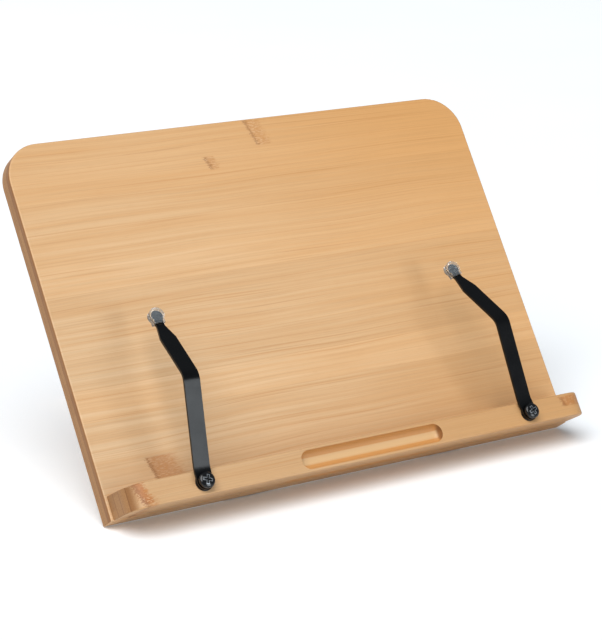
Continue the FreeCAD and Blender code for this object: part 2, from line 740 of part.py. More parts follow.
def make_brackets():
    frames = (
        ("prop", prop_ear_face, -1, size("prop_pivot_height"), size("prop_pivot_height")),
        ("base", base_ear_face, 1, base_pivot_up, base_flange_up),
    )
    for frame, ear_x, flange_side, pivot_up, flange_up in frames:
        for label, side in SIDES:
            stem = "%s_%s" % (label, frame)
            make_bracket(stem + "_bracket", side, ear_x, flange_side, pivot_up, flange_up)
            make_hinge_pin(stem + "_hinge_pin", side, ear_x, flange_side, pivot_up)
        make_bracket_screws(frame + "_bracket_screws", BRACKET_SPOTS[frame])


# ---------------------------------------------------------------- assembly and files
def set_on_footprint():
    """Slide the whole stand so that the middle of its footprint is the origin."""
    doc.recompute()
    box = FreeCAD.BoundBox()
    for piece in NODES.values():
        box.add(piece.Shape.BoundBox)
    for piece in NODES.values():
        place = piece.Placement
        place.Base = place.Base - Vector(0, (box.YMin + box.YMax) / 2, 0)
        piece.Placement = place
    doc.recompute()
    return (box.YMin + box.YMax) / 2


def check_and_write():
    for thing in doc.Objects:
        if "Invalid" in thing.State or "Error" in thing.State:
            raise RuntimeError("%s failed: %s" % (thing.Name, thing.State))
    for label, piece in NODES.items():
        if piece.Shape.isNull() or not piece.Shape.isValid():
            raise RuntimeError(label + " has no valid shape")
    os.makedirs("parts", exist_ok=True)
    for label, piece in NODES.items():
        piece.Shape.exportStep("parts/%s.step" % label)


make_backboard()
make_ledge()
make_ledge_screws()
for label, side in SIDES:
    swing = size(label + "_arm_swing")
    make_arm(label + "_arm", side, swing)
    make_cap(label + "_arm_cap", side, swing)
    make_arm_pivot(label + "_arm", side)
make_prop()
make_base()
make_brackets()
shift = set_on_footprint()
check_and_write()

for label, piece in NODES.items():
    print("%-26s %9.1f mm3, %d solids" % (label, piece.Shape.Volume, len(piece.Shape.Solids)))
for label, point in (("base pivot", base_pivot), ("prop pivot", prop_pivot), ("foot bar", foot_axis)):
    print(label, "y %.3f z %.3f" % (point.y - shift, point.z))
print("prop folds by %.2f degrees" % (180 - size("lean_angle") + prop_turn))
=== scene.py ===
"""Looks of a folding bamboo stand for an album or a book.

The wood, steel, brass and clear plastic of the stand are made here, with the small
turned and bent parts that need finer shapes than the design model gives them.
Lengths are in millimetres, times MM where a mesh or a node wants metres.
"""

import json
import math

import bmesh
import bpy
from mathutils import Matrix, Vector


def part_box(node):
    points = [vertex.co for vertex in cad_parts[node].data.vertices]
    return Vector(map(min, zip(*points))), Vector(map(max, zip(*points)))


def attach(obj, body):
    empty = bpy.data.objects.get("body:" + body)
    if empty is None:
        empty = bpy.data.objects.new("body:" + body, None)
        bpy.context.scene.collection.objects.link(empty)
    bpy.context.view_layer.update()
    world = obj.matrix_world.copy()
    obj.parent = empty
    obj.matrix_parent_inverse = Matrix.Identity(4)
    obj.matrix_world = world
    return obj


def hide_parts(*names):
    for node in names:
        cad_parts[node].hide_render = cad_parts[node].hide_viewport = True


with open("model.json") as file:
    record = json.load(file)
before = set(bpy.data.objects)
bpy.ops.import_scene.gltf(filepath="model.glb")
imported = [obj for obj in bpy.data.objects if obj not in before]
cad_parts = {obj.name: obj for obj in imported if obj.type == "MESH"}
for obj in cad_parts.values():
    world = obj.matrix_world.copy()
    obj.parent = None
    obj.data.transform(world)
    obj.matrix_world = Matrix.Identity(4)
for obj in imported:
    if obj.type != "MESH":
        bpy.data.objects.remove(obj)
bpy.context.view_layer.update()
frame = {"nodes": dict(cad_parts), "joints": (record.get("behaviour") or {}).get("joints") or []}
cad = frame["nodes"]
joints = {joint["name"]: joint for joint in frame["joints"]}

MM = 0.001
SIDES = (("left", -1), ("right", 1))


# ---------------------------------------------------------------- places on the stand
def drawing_frame(origin, along, out):
    """A frame at origin with X along a piece and Z out of its face."""
    x, z = along.normalized(), out.normalized()
    y = z.cross(x)
    turn = Matrix((x, y, z)).transposed()
    return Matrix.Translation(origin) @ turn.to_4x4()


def reach(name, direction):
    """How far a node goes each way along a direction, in metres."""
    marks = [vertex.co.dot(direction) for vertex in cad[name].data.vertices]
    return min(marks), max(marks)


def extent(name, matrix):
    """Lowest and highest corner of a node in a drawing frame, in millimetres."""
    into = matrix.inverted()
    marks = [into @ vertex.co / MM for vertex in cad[name].data.vertices]
    return (Vector(tuple(min(mark[k] for mark in marks) for k in range(3))),
            Vector(tuple(max(mark[k] for mark in marks) for k in range(3))))


ACROSS = Vector((1, 0, 0))
BACK = Vector((0, 1, 0))
OUT = -Vector(joints["left_arm_swing"]["axis"]).normalized()
UP = OUT.cross(ACROSS)
board_foot, board_top = reach("backboard", UP)
board_back, board_front = reach("backboard", OUT)
BOARD = drawing_frame(UP * board_foot + OUT * board_front, ACROSS, OUT)


# ---------------------------------------------------------------- shader maths
def paint(red, green, blue, alpha=1.0):
    """A colour as shaders want it, from the 0 to 255 scale of a colour card."""
    def linear(channel):
        share = channel / 255
        return share / 12.92 if share <= 0.04045 else ((share + 0.055) / 1.055) ** 2.4
    return (linear(red), linear(green), linear(blue), alpha)


class Value:
    """One output of a node. Arithmetic on it adds Math nodes."""

    def __init__(self, finish, socket):
        self.finish = finish
        self.socket = socket

    def math(self, operation, first, *rest):
        inputs = dict(enumerate((first, *rest)))
        return self.finish.node("ShaderNodeMath", {"operation": operation}, inputs)

    def __add__(self, other):
        return self.math("ADD", self, other)

    def __sub__(self, other):
        return self.math("SUBTRACT", self, other)

    def __rsub__(self, other):
        return self.math("SUBTRACT", other, self)

    def __mul__(self, other):
        return self.math("MULTIPLY", self, other)

    def __truediv__(self, other):
        return self.math("DIVIDE", self, other)

    __radd__ = __add__
    __rmul__ = __mul__

    def floor(self):
        return self.math("FLOOR", self)

    def fract(self):
        return self.math("FRACT", self)

    def size(self):
        return self.math("ABSOLUTE", self)

    def larger(self, other):
        return self.math("MAXIMUM", self, other)

    def smaller(self, other):
        return self.math("MINIMUM", self, other)

    def rise(self, start, end):
        """0 up to start, 1 from end on, and a smooth rise between them."""
        settings = {"interpolation_type": "SMOOTHSTEP"}
        return self.finish.node("ShaderNodeMapRange", settings,
                                {"Value": self, "From Min": start, "From Max": end})


class Finish:
    """A material in the making. shader holds the values of the main shader's sockets."""

    def __init__(self, name, **shader):
        self.material = bpy.data.materials.new(name)
        self.material.use_nodes = True
        self.nodes = self.material.node_tree.nodes
        self.main = self.nodes["Principled BSDF"]
        self.feed(self.main, {key.replace("_", " "): value for key, value in shader.items()})

    def feed(self, node, inputs):
        for key, value in inputs.items():
            socket = node.inputs[key] if isinstance(key, int) else next(
                s for s in node.inputs if s.name == key and s.enabled)
            if isinstance(value, Value):
                self.material.node_tree.links.new(value.socket, socket)
            else:
                socket.default_value = value

    def node(self, kind, settings=None, inputs=None, output=None):
        """Add a node: its settings first, then the values or links of its sockets."""
        node = self.nodes.new(kind)
        for key, value in (settings or {}).items():
            setattr(node, key, value)
        self.feed(node, inputs or {})
        found = [s for s in node.outputs if s.enabled and output in (None, s.name)]
        return Value(self, found[0])

    def coat(self, **looks):
        """Feed what changes over the surface into the main shader."""
        self.feed(self.main, {key.replace("_", " "): value for key, value in looks.items()})

    def place(self, matrix):
        """Millimetres in a drawing frame, as a vector and its three parts."""
        here = self.node("ShaderNodeTexCoord", output="Object")
        vector = self.node("ShaderNodeMapping", {"vector_type": "TEXTURE"}, {
            "Vector": here, "Location": matrix.translation, "Rotation": matrix.to_euler(),
            "Scale": (MM, MM, MM)})
        parts = [self.node("ShaderNodeSeparateXYZ", None, {"Vector": vector}, axis) for axis in "XYZ"]
        return [vector, *parts]

    def join(self, x, y, z):
        return self.node("ShaderNodeCombineXYZ", None, {"X": x, "Y": y, "Z": z})

    def noise(self, vector, scale=1.0, detail=2.0, roughness=0.5):
        return self.node("ShaderNodeTexNoise", None, {
            "Vector": vector, "Scale": scale, "Detail": detail, "Roughness": roughness})

    def dice(self, *numbers):
        """A chance number from 0 to 1 for each whole set of numbers."""
        return self.node("ShaderNodeTexWhiteNoise", None, {"Vector": self.join(*numbers)}, "Value")

    def mix(self, share, first, second, blend="MIX"):
        return self.node("ShaderNodeMix", {"data_type": "RGBA", "blend_type": blend}, {
            "Factor": share, "A": first, "B": second})

    def shade(self, colour, amount):
        """The colour times a grey amount."""
        grey = self.join(amount, amount, amount)
        return self.mix(1.0, colour, grey, "MULTIPLY")

    def bump(self, height, depth, strength):
        """A dent or rise of the surface, depth millimetres deep at full height."""
        return self.node("ShaderNodeBump", None, {
            "Height": height, "Distance": depth * MM, "Strength": strength})


# ---------------------------------------------------------------- bamboo
PALE = paint(210, 175, 135)
HONEY = paint(196, 149, 100)
GOLD = paint(196, 145, 89)
AMBER = paint(182, 126, 68)
BURNT = paint(158, 92, 34)
UMBER = paint(112, 68, 32)
GROOVE_WALL = paint(196, 136, 70)
GROOVE_FLOOR = paint(212, 176, 128)
# end-grain browns: partly the cut ends' own darker tone, partly painted shade of the side faces
SHADED_SAWN_PALE = paint(168, 122, 74)
SHADED_SAWN_DARK = paint(128, 82, 42)
SHADED_SAWN_INNER = paint(128, 80, 36)
FIBRE_STEP = 2.4
# share of a strip by which the seams of a ply are off those of the next
PLY_SHIFT = 0.37
# cane joints that fall anywhere along a piece
STRAY_SPREAD = 260
STRAY_LENGTH = 9.0
STRAY_DARKNESS = 0.2
# how far along the ledge the groove's tint has faded out, and up to where it is full
GROOVE_REACH = (60.0, 48.0)


def knot_and_shade_patch(offset, length):
    """Where the mark of a cane joint lies, by how far right of its line a place is; the board's patch
    of painted shade is placed the same way.
    """
    return offset.rise(-1.4, 0.6) * (1 - offset.rise(length * 0.5, length))


def knot_and_shade_marks(wood, body, patch, offset, flecks, darkness):
    """The mark of a cane joint, also drawn as the board's patch of painted shade: burnt, with pale and
    amber flecks and a dark line at its start.
    """
    body = wood.mix(patch * darkness, body, BURNT)
    body = wood.mix(patch * flecks.rise(0.52, 0.62) * (0.75 - darkness * 0.8), body, PALE)
    body = wood.mix(patch * flecks.rise(0.46, 0.36) * 0.6, body, AMBER)
    edge = patch * (1 - offset.size().rise(0.4, 2.2))
    return wood.mix(edge * 0.45, body, UMBER)


def groove_tint(wood, body, groove, along, across, deep):
    """The walls of a pen groove in a darker orange, and its floor in cream."""
    middle_y, groove_half, floor_half = groove
    off_middle = (across - middle_y).size()
    inside = (1 - deep.rise(-0.5, -0.25)) * along.size().rise(*GROOVE_REACH)
    inside = inside * off_middle.rise(groove_half + 0.25, groove_half + 0.1)
    cream = 1 - off_middle.rise(floor_half - 0.4, floor_half + 0.4)
    return wood.mix(inside * 0.75, body, wood.mix(cream, GROOVE_WALL, GROOVE_FLOOR))


def end_facing(wood, matrix):
    """1 where the surface looks along the grain, 0 where it lies along it."""
    facing = wood.node("ShaderNodeTexCoord", output="Normal")
    grain_way = tuple(matrix.to_3x3().col[0])
    return wood.node("ShaderNodeVectorMath", {"operation": "DOT_PRODUCT"},
                     {0: facing, 1: grain_way}, "Value").size().rise(0.5, 0.85)


def shaded_sawn_end(wood, across, deep, plies, ply, tone, dark_inside):
    """Cut ends of the canes, with the glue lines of the plies, in a darker brown that is partly the end
    grain's own tone and partly painted shade of the side faces.
    """
    stems = wood.noise(wood.join(0.0, across * 0.9, deep * 2.2), 1.0, 2.0).rise(0.40, 0.66)
    shaded_sawn = wood.mix(stems * 0.35 + tone * 0.3, SHADED_SAWN_PALE, SHADED_SAWN_DARK)
    glue = (plies.fract() - 0.5).size().rise(0.44, 0.48)
    if dark_inside:
        shaded_sawn = wood.mix(deep.rise(-ply - 0.1, -ply) * 0.55, shaded_sawn, SHADED_SAWN_INNER)
        glue = glue * (1 - deep.rise(-1.0, -0.6))
    return wood.mix(glue * 0.6, shaded_sawn, UMBER)


def bamboo(name, matrix, strip=20.0, ply=4.2, seed=0.0, knots_and_shade=(), chance=0.3, warmth=0.3,
           gold=0.0, shade=1.0, groove=None):
    """Laminated bamboo: strips glued side by side in plies, with their fibres along X.

    strip and ply are the width and thickness of a strip. knots_and_shade lists the cane joints on
    the front ply as (x, y, length, half width, darkness), and on the board a patch of painted shade
    drawn like one; elsewhere a share of the strips, chance, has one at a place of its own. gold is
    how golden the wood is, and warmth how much more it gets to the right and upwards. groove is
    the middle of a pen groove, its half width and its floor's.
    """
    wood = Finish(name, IOR=1.46, Coat_Weight=0.06, Coat_Roughness=0.35)
    _, along, across, deep = wood.place(matrix)
    sway = wood.noise(wood.join(along * 0.006, across * 0.018, deep * 0.03), 1.0, 1.0) - 0.5
    plies = (deep - 0.05) / ply if knots_and_shade else deep / ply + 0.5
    layer = plies.floor()
    rows = (across + sway * 1.5) / strip + (layer + 1) * PLY_SHIFT
    row = rows.floor()
    tone = wood.dice(row, layer, seed)
    slide = wood.dice(row, layer, seed + 17.3)
    level = across + sway * 7 + tone * 9

    bands = wood.noise(wood.join(along * 0.0035, level / FIBRE_STEP, deep / FIBRE_STEP), 1.0, 2.0)
    fibres = wood.noise(wood.join(along * 0.011, level * 1.5, deep * 1.5), 1.0, 3.0, 0.65)
    clouds = wood.noise(wood.join(along * 0.008 + tone * 5, level * 0.05, deep * 0.05), 1.0, 2.0)
    lines = wood.noise(wood.join(along * 0.006 + slide * 9, level * 0.75, deep * 0.75), 1.0, 1.0)
    pores = wood.noise(wood.join(along * 0.11, level * 3.4, deep * 3.4), 1.0, 1.0).rise(0.60, 0.74)
    flecks = wood.noise(wood.join(along * 0.34, across * 1.25, deep * 1.25), 1.0, 3.0, 0.6)

    glow = (along.rise(-120.0, 190.0) + across.rise(90.0, 260.0) * 0.8) * warmth + gold
    body = wood.mix(bands.rise(0.30, 0.70) * 0.52, PALE, HONEY)
    body = wood.mix(clouds.rise(0.40, 0.72) * 0.35, body, HONEY)
    body = wood.mix(glow, body, GOLD)
    body = wood.mix(lines.rise(0.60, 0.74) * 0.42, body, AMBER)
    body = wood.mix(pores * 0.2, body, AMBER)
    body = wood.shade(body, shade * (0.97 + tone * 0.08 - (1 - fibres.rise(0.28, 0.6)) * 0.09))

    ragged = (flecks - 0.5) * 9
    # cane joints, and the board's patch of painted shade drawn the same way
    for x, y, length, half, darkness in knots_and_shade:
        offset = along - x + (across - y) * 0.3 + ragged
        inside = 1 - (across - y + sway * 2).size().rise(half - 1.5, half)
        body = knot_and_shade_marks(wood, body, knot_and_shade_patch(offset, length) * inside, offset, flecks, darkness)
    offset = along - (slide - 0.5) * STRAY_SPREAD + ragged
    stray = knot_and_shade_patch(offset, STRAY_LENGTH) * (tone * 7.31).fract().rise(1 - chance, 1.002 - chance)
    if knots_and_shade:
        stray = stray * (1 - deep.rise(-ply, 0.1 - ply))
    body = knot_and_shade_marks(wood, body, stray, offset, flecks, STRAY_DARKNESS)

    if groove:
        body = groove_tint(wood, body, groove, along, across, deep)
    seam = ((rows.fract() - 0.5).size() * strip).rise(strip / 2 - 0.30, strip / 2 - 0.06)
    body = wood.mix(seam * (0.10 + 0.25 * slide), body, AMBER)
    # painted shade in part: faces that look along the grain take the darker end-grain browns
    end = end_facing(wood, matrix)
    body = wood.mix(end, body, shaded_sawn_end(wood, across, deep, plies, ply, tone, bool(knots_and_shade)))

    height = fibres * 0.5 + bands * 0.3 - pores * 0.3
    wood.coat(Base_Color=body, Roughness=0.44 + fibres * 0.14 + end * 0.12,
              Normal=wood.bump(height, 0.10, 0.5))
    return wood.material


# ---------------------------------------------------------------- metals and plastic
ARM_BLACK = (0.0013, 0.0013, 0.0015, 1)
WASHER_BLACK = (0.003, 0.003, 0.0033, 1)
SCREW_BLACK = (0.004, 0.004, 0.0045, 1)
# steel colour of the painted glint on the rim of a screw's cross
GLINT_STEEL = paint(176, 180, 184)
ZINC = paint(205, 207, 210)
BRASS = paint(214, 176, 96)


def coated_steel(name, colour, roughness, grain, shine):
    """Powder-coated steel, with the fine orange peel of its coat."""
    steel = Finish(name, IOR=1.5, Specular_IOR_Level=shine)
    vector, _, _, _ = steel.place(BOARD)
    peel = steel.noise(vector, grain, 3.0, 0.6)
    smear = steel.noise(vector, 0.11, 2.0)
    steel.coat(Base_Color=steel.mix(smear, colour, tuple(c * 1.5 for c in colour[:3]) + (1,)),
               Roughness=roughness + (smear - 0.5) * 0.12 + peel * 0.05,
               Normal=steel.bump(peel, 0.02, 0.35))
    return steel.material


def rim_glint_screw(name, seat, span, width, top):
    """Black screw with bright steel painted along the top rim of its cross, a painted glint where the
    edges of the cross catch the light.
    """
    screw = Finish(name, IOR=1.5, Specular_IOR_Level=0.4)
    vector, x, y, z = screw.place(seat)
    x, y = x.size(), y.size()
    blade = (x - span / 2).larger(y - width / 2)
    other = (y - span / 2).larger(x - width / 2)
    rim = blade.smaller(other).size()
    peel = screw.noise(vector, 2.2, 3.0, 0.6)
    # painted glint: steel colour along the top rim of the cross, standing in for the light its edges
    # catch
    rim_glint = (1 - rim.rise(0.12, 0.34)) * z.rise(top - 1.4, top - 0.8) * peel.rise(0.25, 0.5)
    deep = z.rise(top - 0.9, top - 1.3) * (x + y).rise(2.9, 2.6)
    colour = screw.mix(rim_glint * 0.8, SCREW_BLACK, GLINT_STEEL)
    screw.coat(Base_Color=colour, Metallic=rim_glint, Roughness=0.15 + peel * 0.06 + rim_glint * 0.2 + deep * 0.5,
               Normal=screw.bump(peel, 0.02, 0.35))
    return screw.material


def bright_steel(name, colour):
    """Zinc plated or turned metal with fine drawn lines."""
    metal = Finish(name, Metallic=1.0)
    _, x, y, z = metal.place(BOARD)
    drawn = metal.noise(metal.join(x * 0.4, y * 4, z * 4), 1.0, 2.0)
    bloom = metal.noise(metal.join(x, y, z), 0.35, 3.0)
    metal.coat(Base_Color=metal.shade(colour, 0.78 + bloom * 0.3),
               Roughness=0.3 + (bloom - 0.5) * 0.2 + drawn * 0.08,
               Normal=metal.bump(drawn, 0.01, 0.3))
    return metal.material


def clear_plastic(name):
    """Soft clear plastic, a little smoky, with faint flow marks from moulding."""
    plastic = Finish(name, IOR=1.45, Transmission_Weight=0.92, Coat_Weight=0.6, Coat_Roughness=0.03)
    vector, _, _, _ = plastic.place(BOARD)
    flow = plastic.noise(vector, 0.35, 2.0)
    plastic.coat(Base_Color=plastic.mix(flow, paint(222, 232, 240), paint(240, 244, 247)),
                 Roughness=0.03 + flow * 0.06,
                 Normal=plastic.bump(flow, 0.06, 0.25))
    return plastic.material


# ---------------------------------------------------------------- making pieces
def edges_turning(shape, least):
    """Edges where the surface turns by at least this many degrees."""
    return [edge for edge in shape.edges
            if len(edge.link_faces) == 2 and edge.calc_face_angle() > math.radians(least)]


def ease(shape, radius, segments, least=40):
    """Round off the sharp edges of a shape."""
    bmesh.ops.bevel(shape, geom=edges_turning(shape, least), offset=radius, offset_type="OFFSET",
                    affect="EDGES", segments=segments, profile=0.5, material=-1, clamp_overlap=True)


def tidy_up(shape):
    """Merge doubled points and turn the faces outwards."""
    bmesh.ops.remove_doubles(shape, verts=shape.verts, dist=1e-4)
    bmesh.ops.dissolve_degenerate(shape, edges=shape.edges, dist=1e-4)
    bmesh.ops.recalc_face_normals(shape, faces=shape.faces)


def turned(profile, steps):
    """A solid turned about Z from (radius, height) points, which start and end on the axis."""
    shape = bmesh.new()
    points = [shape.verts.new((radius, 0, height)) for radius, height in profile]
    edges = [shape.edges.new(pair) for pair in zip(points, points[1:])]
    bmesh.ops.spin(shape, geom=points + edges, cent=(0, 0, 0), axis=(0, 0, 1),
                   angle=2 * math.pi, steps=steps, use_merge=True)
    tidy_up(shape)
    return shape


def ring(inner, outer, height, edge=0.15):
    """A washer with eased edges, lying on the XY plane."""
    shape = bmesh.new()
    corners = [(inner, 0), (outer, 0), (outer, height), (inner, height)]
    points = [shape.verts.new((radius, 0, level)) for radius, level in corners]
    edges = [shape.edges.new(pair) for pair in zip(points, points[1:] + points[:1])]
    bmesh.ops.spin(shape, geom=points + edges, cent=(0, 0, 0), axis=(0, 0, 1),
                   angle=2 * math.pi, steps=48, use_merge=True)
    tidy_up(shape)
    ease(shape, edge, 2)
    return shape


def ribbon(stations, thickness, columns=6):
    """A strip through stations (along, half width, height), thickened upwards."""
    shape = bmesh.new()
    last = len(stations) - 1
    bmesh.ops.create_grid(shape, x_segments=columns, y_segments=last, size=1.0)
    for vertex in shape.verts:
        along, half, height = stations[round((vertex.co.y + 1) / 2 * last)]
        vertex.co = (vertex.co.x * half, along, height)
    tidy_up(shape)
    if sum(face.normal.z for face in shape.faces) > 0:
        bmesh.ops.reverse_faces(shape, faces=shape.faces)
    bmesh.ops.solidify(shape, geom=shape.faces, thickness=thickness)
    return shape


def bar(x, y, z, place):
    """A straight block with its middle at a place."""
    shape = bmesh.new()
    bmesh.ops.create_cube(shape, size=1.0)
    bmesh.ops.scale(shape, verts=shape.verts, vec=(x, y, z))
    bmesh.ops.translate(shape, verts=shape.verts, vec=place)
    return shape


def add(name, shape, matrix, body, material, stands_for=(), smooth=35):
    """Put a shape drawn in millimetres on the stand, and say what it is part of."""
    bmesh.ops.transform(shape, matrix=matrix @ Matrix.Scale(MM, 4), verts=shape.verts)
    mesh = bpy.data.meshes.new(name)
    shape.to_mesh(mesh)
    shape.free()
    mesh.materials.append(material)
    mesh.shade_smooth()
    mesh.set_sharp_from_angle(angle=math.radians(smooth))
    thing = bpy.data.objects.new(name, mesh)
    bpy.context.scene.collection.objects.link(thing)
    thing.modifiers.new("even_shading", "WEIGHTED_NORMAL").keep_sharp = True
    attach(thing, body)
    if stands_for:
        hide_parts(*stands_for)
    return thing


def carved(shape, *cutters):
    """The shape less its cutters, as one mesh."""
    def loose(source):
        mesh = bpy.data.meshes.new("blank")
        source.to_mesh(mesh)
        source.free()
        thing = bpy.data.objects.new("blank", mesh)
        bpy.context.scene.collection.objects.link(thing)
        return thing

    blank = loose(shape)
    tools = [loose(cutter) for cutter in cutters]
    for tool in tools:
        modifier = blank.modifiers.new("cut", "BOOLEAN")
        modifier.operation = "DIFFERENCE"
        modifier.solver = "EXACT"
        modifier.object = tool
    depsgraph = bpy.context.evaluated_depsgraph_get()
    result = bmesh.new()
    result.from_mesh(bpy.data.meshes.new_from_object(blank.evaluated_get(depsgraph)))
    for thing in [blank, *tools]:
        bpy.data.objects.remove(thing)
    return result


def dress(name, material):
    """Give a node of the design its material."""
    cad[name].data.materials.clear()
    cad[name].data.materials.append(material)


def middle(name):
    """Middle of a node's box, in metres."""
    low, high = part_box(name)
    return (low + high) / 2


prop_pivot = Vector(joints["prop_fold"]["pos_m"])
foot_bar_middle = middle("prop_foot_bar")
PROP_WAY = (foot_bar_middle - prop_pivot).normalized()
PROP_OUT = ACROSS.cross(PROP_WAY)
FLAT = Vector((0, 0, 1))
# how far the ledge's drawing frame lies up from the foot of the board
LEDGE_SEAM = 3.6
# the groove's middle, its half width and its floor's, in the ledge's frame
GROOVE = (1.75, 6.0, 2.3)
# x, y, length, half width and darkness of each cane joint, and of the board's one patch of painted
# shade
BOARD_KNOTS_AND_SHADE = (
    (5.0, 230.0, 13.0, 9.5, 0.25),
    (-33.0, 213.0, 8.0, 5.0, 0.3),
    # painted shade: a dark patch low on the left of the board, just above the ledge, drawn with the
    # marks of a cane joint
    (-134.0, 24.0, 24.0, 10.0, 0.5),
)
LEDGE_KNOTS = (
    (-162.5, 4.6, 7.0, 9.0, 0.85),
    (-160.0, -3.0, 9.0, 4.0, 0.4),
    (149.0, 4.4, 26.0, 4.0, 0.6),
)
BAR_STRIP, BAR_PLY = 12.0, 4.5


def dress_wood():
    dress("backboard", bamboo("bamboo_board", BOARD, seed=3.0, warmth=0.6, knots_and_shade=BOARD_KNOTS_AND_SHADE))
    lift = OUT * (reach("ledge", OUT)[1] - board_front) + UP * LEDGE_SEAM * MM
    ledge = drawing_frame(BOARD.translation + lift, ACROSS, OUT)
    dress("ledge", bamboo("bamboo_ledge", ledge, strip=11.8, ply=7.5, seed=8.0, warmth=0.45,
                          gold=0.38, shade=0.86, groove=GROOVE, knots_and_shade=LEDGE_KNOTS))
    for number, (label, _) in enumerate(SIDES):
        dress_bar(label + "_prop_leg", PROP_WAY, PROP_OUT, 20.0 + 3 * number)
        dress_bar(label + "_base_rail", BACK, FLAT, 20.0 + 3 * number)
    crossing = (("prop_top_rail", PROP_OUT), ("prop_foot_bar", PROP_OUT), ("base_front_slat", FLAT),
                ("base_middle_slat", FLAT), ("base_rear_rail", FLAT))
    for number, (node, out) in enumerate(crossing):
        dress_bar(node, ACROSS, out, 40.0 + 3 * number)


def dress_bar(node, way, out, seed):
    """Bamboo for a bar of the prop or the base, with its fibres along the bar."""
    matrix = drawing_frame(middle(node), way, out)
    dress(node, bamboo("bamboo_" + node, matrix, strip=BAR_STRIP, ply=BAR_PLY, seed=seed))


def dress_metal():
    arm_coat = coated_steel("black_coat", ARM_BLACK, 0.22, 1.4, 0.24)
    washer_coat = coated_steel("black_screw", WASHER_BLACK, 0.16, 2.2, 0.4)
    zinc = bright_steel("zinc", ZINC)
    brass = bright_steel("brass", BRASS)
    make_arms(arm_coat)
    make_caps(clear_plastic("clear_cap"))
    make_pivots(washer_coat)
    for label, _ in SIDES:
        dress(label + "_arm_insert", brass)
        for part in ("_prop_bracket", "_prop_hinge_pin", "_base_bracket", "_base_hinge_pin"):
            dress(label + part, zinc)
    for node in ("ledge_screws", "prop_bracket_screws", "base_bracket_screws"):
        dress(node, zinc)


# ---------------------------------------------------------------- page arms
ARM_SWING = {"left": 2.0, "right": 10.0}
ARM_THICKNESS = 1.6
FOOT_BEND, PEAK_BEND, TAPER_AT, NECK_AT = 8.0, 60.0, 88.0, 99.5
PEAK_RISE, NECK_RISE, TIP_RISE = 18.0, -3.5, -5.0
NECK_HALF, PADDLE_HALF = 2.6, 3.8
BEND_REACH = 3.0
FACE_GAP = 0.15
ARM_BORE = 2.05
ARM_EDGE = 0.32
# how far the line of an arm runs on past its ends, so that its bends can be eased there
END_RUN = 20.0
# how far before the neck the taper ends
NECK_MARGIN = 2


def arm_frame(label, side, swing=0.0):
    """On a pivot's axis at the underside of the arm: X across, Y up the arm, Z out."""
    pivot = Vector(joints[label + "_arm_swing"]["pos_m"])
    washer_top = reach(label + "_arm_washer", OUT)[1]
    origin = pivot + OUT * (washer_top + FACE_GAP * MM - pivot.dot(OUT))
    return drawing_frame(origin, ACROSS, OUT) @ Matrix.Rotation(math.radians(side * swing), 4, "Z")


def arm_height(along, tip):
    """Height of an arm's underside, with its bends eased over BEND_REACH each way."""
    drop_on = END_RUN * (NECK_RISE - TIP_RISE) / (tip - NECK_AT)
    bends = [(-END_RUN, 0.0), (FOOT_BEND, 0.0), (PEAK_BEND, PEAK_RISE), (NECK_AT, NECK_RISE),
             (tip, TIP_RISE), (tip + END_RUN, TIP_RISE - drop_on)]

    def straight(at):
        for (y0, z0), (y1, z1) in zip(bends, bends[1:]):
            if at <= y1:
                return z0 + (z1 - z0) * (at - y0) / (y1 - y0)
        return bends[-1][1]

    samples = [straight(along + BEND_REACH * k / 6) for k in range(-6, 7)]
    return sum(samples) / len(samples)


def half_arm(along, foot_half, tip):
    """Half width of an arm: a round foot, straight sides, a neck and a round paddle."""
    if along < 0:
        return math.sqrt(max(0.0, foot_half ** 2 - along ** 2))
    narrow_at = NECK_AT - NECK_MARGIN
    share = max(0.0, min(1.0, (narrow_at - along) / (narrow_at - TAPER_AT)))
    neck = NECK_HALF + (foot_half - NECK_HALF) * share
    centre = tip - PADDLE_HALF
    disc = math.sqrt(max(0.0, PADDLE_HALF ** 2 - (along - centre) ** 2))
    return disc if along > centre else max(neck, disc)


def round_steps(centre, radius, start, end, count):
    """Places along a round end, closer together where it curves away."""
    return [centre + radius * math.sin(math.radians(start + (end - start) * k / count))
            for k in range(count + 1)]


def arm_stations(foot_half, tip):
    """Stations of an arm's ribbon, close together at its round ends and its bends."""
    places = round_steps(0, foot_half, -90, 0, 10)
    places += [FOOT_BEND / 2 + k for k in range(0, 9)]
    places += [20 + 6.5 * k for k in range(6)]
    places += [PEAK_BEND - 4 + k for k in range(9)]
    places += [68 + 5 * k for k in range(4)]
    places += [TAPER_AT + 1.5 * k for k in range(7)]
    centre = tip - PADDLE_HALF
    places += round_steps(centre, PADDLE_HALF, -50, 90, 16)
    return [(at, half_arm(at, foot_half, tip), arm_height(at, tip)) for at in sorted(set(places))]


def make_arms(coat):
    """The two bent strips, each with the bore for its screw."""
    for label, side in SIDES:
        matrix = arm_frame(label, side, ARM_SWING[label])
        high = extent(label + "_arm", matrix)[1]
        shape = ribbon(arm_stations(high.x, high.y), ARM_THICKNESS)
        ease(shape, ARM_EDGE, 3, 50)
        bore = bmesh.new()
        bmesh.ops.create_cone(bore, cap_ends=True, segments=40, radius1=ARM_BORE, radius2=ARM_BORE,
                              depth=8.0)
        add(label + "_arm_strip", carved(shape, bore), matrix, label + "_arm", coat,
            [label + "_arm"])


CAP_MOUTH = 3.7
CAP_ROOM = 0.06
CAP_EDGE = 1.5


def drop(start, length, half, mouth):
    """Stations of a drop shape: a mouth, then a round head."""
    centre = start + length - half

    def half_at(at):
        disc = math.sqrt(max(0.0, half ** 2 - (at - centre) ** 2))
        return disc if at > centre else max(mouth, disc)

    places = [start, start + 0.4 * (length - 2 * half)] + round_steps(centre, half, -58, 90, 20)
    return [(at, half_at(at)) for at in sorted(places)]


